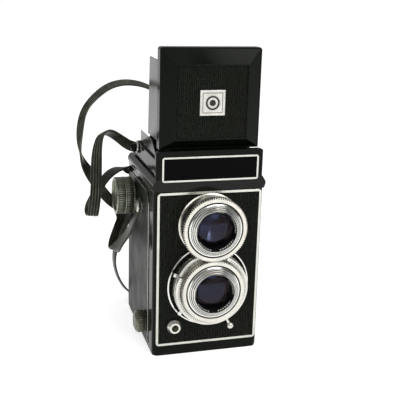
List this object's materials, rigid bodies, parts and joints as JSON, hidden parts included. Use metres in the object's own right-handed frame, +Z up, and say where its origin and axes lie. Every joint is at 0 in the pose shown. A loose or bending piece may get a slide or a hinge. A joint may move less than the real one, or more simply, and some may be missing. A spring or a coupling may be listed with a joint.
{
  "type": "twin lens reflex camera",
  "caption": "Box camera with stacked viewing and taking lenses in geared focusing rings, a folding waist-level finder hood raised, side knobs and a looped neck strap.",
  "frame": {"origin": "mouth of the tripod socket, in the middle of the flat base", "axes": "+Z up, the lenses look along -Y, the winding knob is on -X"},
  "size_m": [0.132, 0.133, 0.2107],
  "materials": {
    "black_lacquer": "glossy black lacquer",
    "ribbed_black": "black lacquer over fine vertical ribs",
    "black_satin": "satin black",
    "satin_silver": "satin",
    "bright_chrome": "polished",
    "grey_satin": "satin grey",
    "olive_metal": "satin, knurled",
    "worn_brass": "worn",
    "steel": "plain",
    "spool_plastic": "moulded",
    "lens_glass": "polished, coated",
    "red_glass": "deep red",
    "silvered_mirror": "front silvered",
    "strap_leather": "smooth dark strap"
  },
  "bodies": {
    "camera_body": {"body_shell": "black_lacquer", "base_plate": "black_lacquer", "base_screws": "steel", "tripod_bush": "worn_brass", "front_plate": "ribbed_black", "front_trim": "bright_chrome", "side_panels": "grey_satin", "shoulder_plate": "black_lacquer", "hood_base": "black_lacquer", "nameplate": "black_satin", "nameplate_trim": "satin_silver", "hinge_pins": "steel", "ground_glass": "lens_glass", "mirror": "silvered_mirror", "mirror_holder": "black_satin", "film_gate": "black_satin", "film_rollers": "steel", "strap_studs": "satin_silver", "viewing_lens_mount": "satin_silver", "rear_glasses": "lens_glass", "shutter_flange": "bright_chrome", "shutter_housing": "satin_silver", "shutter_blades": "black_satin", "aperture_blades": "black_satin", "flash_socket": "satin_silver", "flash_contact": "worn_brass", "neck_strap": "strap_leather"},
    "lid": {"hood_lid": "black_lacquer", "lid_panel": "ribbed_black", "lid_badge": "satin_silver"},
    "left_wing": {"hood_wing_left": "black_lacquer"},
    "right_wing": {"hood_wing_right": "black_lacquer"},
    "left_leaf": {"hood_side_leaf_left": "black_lacquer"},
    "right_leaf": {"hood_side_leaf_right": "black_lacquer"},
    "rear_flap": {"hood_rear_flap": "black_lacquer"},
    "magnifier": {"magnifier_frame": "black_lacquer", "magnifier_lens": "lens_glass"},
    "viewing_ring": {"viewing_focus_ring": "satin_silver", "viewing_bezel": "bright_chrome", "viewing_front_glass": "lens_glass"},
    "taking_ring": {"taking_focus_ring": "satin_silver", "taking_bezel": "bright_chrome", "taking_front_glass": "lens_glass"},
    "speed_setting": {"speed_ring": "satin_silver"},
    "aperture_setting": {"aperture_lever": "bright_chrome"},
    "cocking": {"cocking_lever": "bright_chrome"},
    "release": {"release_lever": "bright_chrome"},
    "film_wind": {"wind_knob": "olive_metal", "take_up_spool": "spool_plastic"},
    "supply": {"supply_spool": "spool_plastic"},
    "take_up_knob": {"take_up_spool_knob": "worn_brass"},
    "supply_knob": {"supply_spool_knob": "worn_brass"},
    "rear_door": {"rear_cover": "black_lacquer", "red_window": "red_glass", "pressure_plate": "black_satin", "pressure_springs": "steel"},
    "door_latch": {"back_latch": "satin_silver"},
    "window_cover": {"red_window_cover": "satin_silver"},
    "hood_button": {"hood_release_button": "bright_chrome"}
  },
  "joints": [
    {"name": "lid_hinge", "type": "hinge", "parent": "camera_body", "child": "lid", "pos_m": [0, -0.037, 0.1427], "axis": [1, 0, 0], "range_deg": [-90, 0]},
    {"name": "left_wing_hinge", "type": "hinge", "parent": "lid", "child": "left_wing", "pos_m": [-0.03255, -0.0311, 0.175], "axis": [0, 0, 1], "range_deg": [-90, 0]},
    {"name": "right_wing_hinge", "type": "hinge", "parent": "lid", "child": "right_wing", "pos_m": [0.03255, -0.0311, 0.175], "axis": [0, 0, -1], "range_deg": [-90, 0]},
    {"name": "left_leaf_hinge", "type": "hinge", "parent": "camera_body", "child": "left_leaf", "pos_m": [-0.03345, 0, 0.1353], "axis": [0, 1, 0], "range_deg": [0, 90]},
    {"name": "right_leaf_hinge", "type": "hinge", "parent": "camera_body", "child": "right_leaf", "pos_m": [0.03345, 0, 0.1353], "axis": [0, 1, 0], "range_deg": [-90, 0]},
    {"name": "rear_flap_hinge", "type": "hinge", "parent": "camera_body", "child": "rear_flap", "pos_m": [0, 0.0225, 0.1341], "axis": [1, 0, 0], "range_deg": [0, 90]},
    {"name": "magnifier_hinge", "type": "hinge", "parent": "lid", "child": "magnifier", "pos_m": [0, -0.0346, 0.197], "axis": [1, 0, 0], "range_deg": [0, 90]},
    {"name": "viewing_focus", "type": "hinge", "parent": "camera_body", "child": "viewing_ring", "pos_m": [0, -0.055, 0.0943], "axis": [0, 1, 0], "range_deg": [0, 270]},
    {"name": "taking_focus", "type": "hinge", "parent": "camera_body", "child": "taking_ring", "pos_m": [0, -0.055, 0.0509], "axis": [0, 1, 0], "range_deg": [-270, 0]},
    {"name": "speed_setting_turn", "type": "hinge", "parent": "camera_body", "child": "speed_setting", "pos_m": [0, -0.055, 0.0509], "axis": [0, 1, 0], "range_deg": [0, 40]},
    {"name": "aperture_turn", "type": "hinge", "parent": "camera_body", "child": "aperture_setting", "pos_m": [0, -0.051, 0.0509], "axis": [0, -1, 0], "range_deg": [0, 30]},
    {"name": "cocking_turn", "type": "hinge", "parent": "camera_body", "child": "cocking", "pos_m": [0, -0.051, 0.0509], "axis": [0, -1, 0], "range_deg": [0, 40]},
    {"name": "release_turn", "type": "hinge", "parent": "camera_body", "child": "release", "pos_m": [0, -0.051, 0.0509], "axis": [0, 1, 0], "range_deg": [0, 12], "stiffness_Nm_per_rad": 0.02},
    {"name": "film_wind_turn", "type": "hinge", "parent": "camera_body", "child": "film_wind", "pos_m": [-0.04, 0.02, 0.099], "axis": [1, 0, 0], "continuous": true},
    {"name": "supply_turn", "type": "hinge", "parent": "camera_body", "child": "supply", "pos_m": [0, -0.019, 0.016], "axis": [1, 0, 0], "continuous": true},
    {"name": "take_up_knob_pull", "type": "slide", "parent": "camera_body", "child": "take_up_knob", "axis": [1, 0, 0], "range_m": [0, 0.006]},
    {"name": "supply_knob_pull", "type": "slide", "parent": "camera_body", "child": "supply_knob", "axis": [-1, 0, 0], "range_m": [0, 0.006]},
    {"name": "rear_door_hinge", "type": "hinge", "parent": "camera_body", "child": "rear_door", "pos_m": [0, 0.0459, 0.0086], "axis": [-1, 0, 0], "range_deg": [0, 90]},
    {"name": "door_latch_slide", "type": "slide", "parent": "rear_door", "child": "door_latch", "axis": [1, 0, 0], "range_m": [0, 0.004]},
    {"name": "window_cover_turn", "type": "hinge", "parent": "rear_door", "child": "window_cover", "pos_m": [0.0082, 0.045, 0.03], "axis": [0, 1, 0], "range_deg": [0, 75]},
    {"name": "hood_button_press", "type": "slide", "parent": "camera_body", "child": "hood_button", "axis": [1, 0, 0], "range_m": [0, 0.0008], "stiffness_N_per_m": 300}
  ],
  "couplings": [
    {"joint": "left_wing_hinge", "follows": "lid_hinge", "ratio": 1},
    {"joint": "right_wing_hinge", "follows": "lid_hinge", "ratio": 1},
    {"joint": "left_leaf_hinge", "follows": "lid_hinge", "ratio": -1},
    {"joint": "right_leaf_hinge", "follows": "lid_hinge", "ratio": 1},
    {"joint": "rear_flap_hinge", "follows": "lid_hinge", "ratio": -1},
    {"joint": "taking_focus", "follows": "viewing_focus", "ratio": -1}
  ]
}
